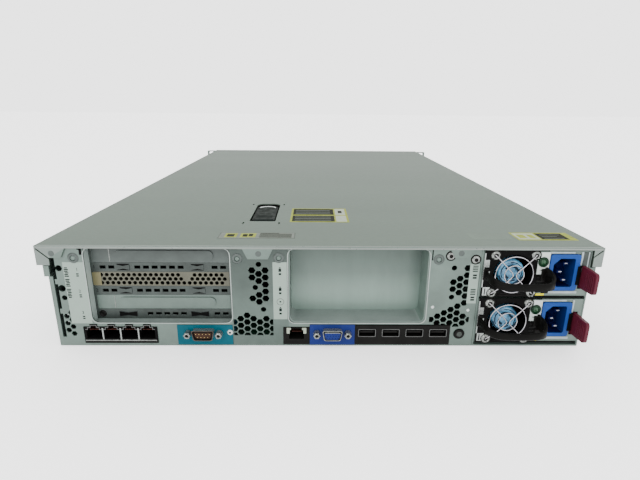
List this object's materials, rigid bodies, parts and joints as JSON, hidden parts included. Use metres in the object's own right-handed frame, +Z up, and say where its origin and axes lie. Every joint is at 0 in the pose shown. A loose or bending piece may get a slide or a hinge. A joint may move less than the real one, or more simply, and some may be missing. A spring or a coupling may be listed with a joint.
{
  "type": "2u rack server",
  "caption": "Two-unit rack server: folded steel chassis with a sliding cover, a vented rear wall with connectors and card bays, and plug-in power supplies.",
  "frame": {"origin": "middle of the chassis underside", "axes": "+Z up, +Y from the rear connectors towards the front, +X to the right of somebody facing the rear"},
  "size_m": [0.4826, 0.7245, 0.0873],
  "materials": {
    "galvanised": "zinc-plated sheet steel, satin",
    "cover_paint": "grey-green coated sheet steel, satin",
    "card_steel": "stamped steel, satin",
    "gold_steel": "yellow-passivated steel",
    "dark_plastic": "black moulded plastic",
    "latch_plastic": "maroon moulded plastic",
    "inlet_blue": "blue moulded plastic",
    "serial_teal": "teal moulded plastic",
    "video_blue": "blue moulded plastic",
    "port_steel": "bright shield, satin",
    "psu_steel": "thin zinc-plated steel over a hollow case, satin",
    "chrome_wire": "bright wire",
    "rotor_plastic": "black moulded plastic",
    "hub_label": "blue-grey label on a black hub",
    "board_green": "solder mask, gloss",
    "sink_metal": "bare aluminium",
    "front_black": "black painted steel",
    "drive_metal": "cast carrier, satin",
    "button_grey": "grey translucent plastic"
  },
  "bodies": {
    "chassis": {"chassis_base": "galvanised", "rear_panel": "galvanised", "vent_column_mid": "galvanised", "vent_column_right": "galvanised", "riser_cage": "card_steel", "slot_cover_top": "card_steel", "slot_cover_perforated": "gold_steel", "slot_cover_bottom": "card_steel", "riser_board": "board_green", "riser_blank": "galvanised", "network_ports": "port_steel", "serial_port": "serial_teal", "management_port": "dark_plastic", "video_port": "video_blue", "usb_ports": "dark_plastic", "psu_cage": "galvanised", "power_backplane": "board_green", "system_board": "board_green", "heat_sink": "sink_metal", "memory_modules": "board_green", "fan_tray": "galvanised", "fan_frames": "dark_plastic", "fan_blanks": "dark_plastic", "drive_cage": "galvanised", "drive_backplane": "board_green", "drive_blanks": "dark_plastic", "front_panel": "front_black", "front_roof": "cover_paint", "rack_ear_left": "galvanised", "rack_ear_right": "galvanised", "rail_studs": "galvanised"},
    "cover": {"top_cover": "cover_paint", "latch_cup": "dark_plastic"},
    "latch": {"latch_handle": "dark_plastic"},
    "uid_key": {"uid_button": "button_grey"},
    "power_key": {"power_button": "button_grey"},
    "ear_lever_l": {"ear_lever_left": "dark_plastic"},
    "ear_lever_r": {"ear_lever_right": "dark_plastic"},
    "psu_lower": {"psu_lower_case": "psu_steel", "psu_lower_fan_frame": "dark_plastic", "psu_lower_inlet": "inlet_blue", "psu_lower_guard": "chrome_wire", "psu_lower_handle": "dark_plastic"},
    "psu_lower_tab": {"psu_lower_latch": "latch_plastic"},
    "psu_lower_fan": {"psu_lower_rotor": "hub_label"},
    "psu_upper": {"psu_upper_case": "psu_steel", "psu_upper_fan_frame": "dark_plastic", "psu_upper_inlet": "inlet_blue", "psu_upper_guard": "chrome_wire", "psu_upper_handle": "dark_plastic"},
    "psu_upper_tab": {"psu_upper_latch": "latch_plastic"},
    "psu_upper_fan": {"psu_upper_rotor": "hub_label"},
    "fan_1": {"fan_rotor_1": "rotor_plastic"},
    "fan_2": {"fan_rotor_2": "rotor_plastic"},
    "fan_3": {"fan_rotor_3": "rotor_plastic"},
    "fan_4": {"fan_rotor_4": "rotor_plastic"},
    "drive_1": {"drive_1": "drive_metal"},
    "drive_lever_1": {"drive_lever_1": "latch_plastic"},
    "drive_2": {"drive_2": "drive_metal"},
    "drive_lever_2": {"drive_lever_2": "latch_plastic"}
  },
  "joints": [
    {"name": "cover_slide", "type": "slide", "parent": "chassis", "child": "cover", "axis": [0, -1, 0], "range_m": [0, 0.0127]},
    {"name": "latch_turn", "type": "hinge", "parent": "cover", "child": "latch", "pos_m": [-0.05475, -0.2659, 0.0835], "axis": [1, 0, 0], "range_deg": [0, 75]},
    {"name": "uid_press", "type": "slide", "parent": "chassis", "child": "uid_key", "axis": [0, 1, 0], "range_m": [0, 0.001], "stiffness_N_per_m": 300},
    {"name": "power_press", "type": "slide", "parent": "chassis", "child": "power_key", "axis": [0, -1, 0], "range_m": [0, 0.001], "stiffness_N_per_m": 300},
    {"name": "ear_lever_left_turn", "type": "hinge", "parent": "chassis", "child": "ear_lever_l", "pos_m": [-0.2217, 0.348, 0.04365], "axis": [0, 0, -1], "range_deg": [0, 35]},
    {"name": "ear_lever_right_turn", "type": "hinge", "parent": "chassis", "child": "ear_lever_r", "pos_m": [0.2217, 0.348, 0.04365], "axis": [0, 0, 1], "range_deg": [0, 35]},
    {"name": "psu_lower_slide", "type": "slide", "parent": "chassis", "child": "psu_lower", "axis": [0, -1, 0], "range_m": [0, 0.2]},
    {"name": "psu_lower_tab_turn", "type": "hinge", "parent": "psu_lower", "child": "psu_lower_tab", "pos_m": [0.2091, -0.3414, 0.0212], "axis": [0, 0, -1], "range_deg": [0, 6], "stiffness_Nm_per_rad": 0.3},
    {"name": "psu_lower_fan_spin", "type": "hinge", "parent": "psu_lower", "child": "psu_lower_fan", "pos_m": [0.1533, -0.3334, 0.0233], "axis": [0, 1, 0], "continuous": true},
    {"name": "psu_upper_slide", "type": "slide", "parent": "chassis", "child": "psu_upper", "axis": [0, -1, 0], "range_m": [0, 0.2]},
    {"name": "psu_upper_tab_turn", "type": "hinge", "parent": "psu_upper", "child": "psu_upper_tab", "pos_m": [0.2091, -0.3414, 0.0625], "axis": [0, 0, -1], "range_deg": [0, 6], "stiffness_Nm_per_rad": 0.3},
    {"name": "psu_upper_fan_spin", "type": "hinge", "parent": "psu_upper", "child": "psu_upper_fan", "pos_m": [0.1533, -0.3334, 0.0646], "axis": [0, 1, 0], "continuous": true},
    {"name": "fan_1_spin", "type": "hinge", "parent": "chassis", "child": "fan_1", "pos_m": [-0.165, 0.0921, 0.0384], "axis": [0, 1, 0], "continuous": true},
    {"name": "fan_2_spin", "type": "hinge", "parent": "chassis", "child": "fan_2", "pos_m": [-0.099, 0.0921, 0.0384], "axis": [0, 1, 0], "continuous": true},
    {"name": "fan_3_spin", "type": "hinge", "parent": "chassis", "child": "fan_3", "pos_m": [-0.033, 0.0921, 0.0384], "axis": [0, 1, 0], "continuous": true},
    {"name": "fan_4_spin", "type": "hinge", "parent": "chassis", "child": "fan_4", "pos_m": [0.033, 0.0921, 0.0384], "axis": [0, 1, 0], "continuous": true},
    {"name": "drive_1_slide", "type": "slide", "parent": "chassis", "child": "drive_1", "axis": [0, 1, 0], "range_m": [0, 0.12]},
    {"name": "drive_lever_1_turn", "type": "hinge", "parent": "drive_1", "child": "drive_lever_1", "pos_m": [-0.1963, 0.3484, 0.0145], "axis": [-1, 0, 0], "range_deg": [0, 50]},
    {"name": "drive_2_slide", "type": "slide", "parent": "chassis", "child": "drive_2", "axis": [0, 1, 0], "range_m": [0, 0.12]},
    {"name": "drive_lever_2_turn", "type": "hinge", "parent": "drive_2", "child": "drive_lever_2", "pos_m": [-0.1785, 0.3484, 0.0145], "axis": [-1, 0, 0], "range_deg": [0, 50]}
  ],
  "couplings": [
    {"joint": "latch_turn", "follows": "cover_slide", "rad_per_m": 103}
  ]
}
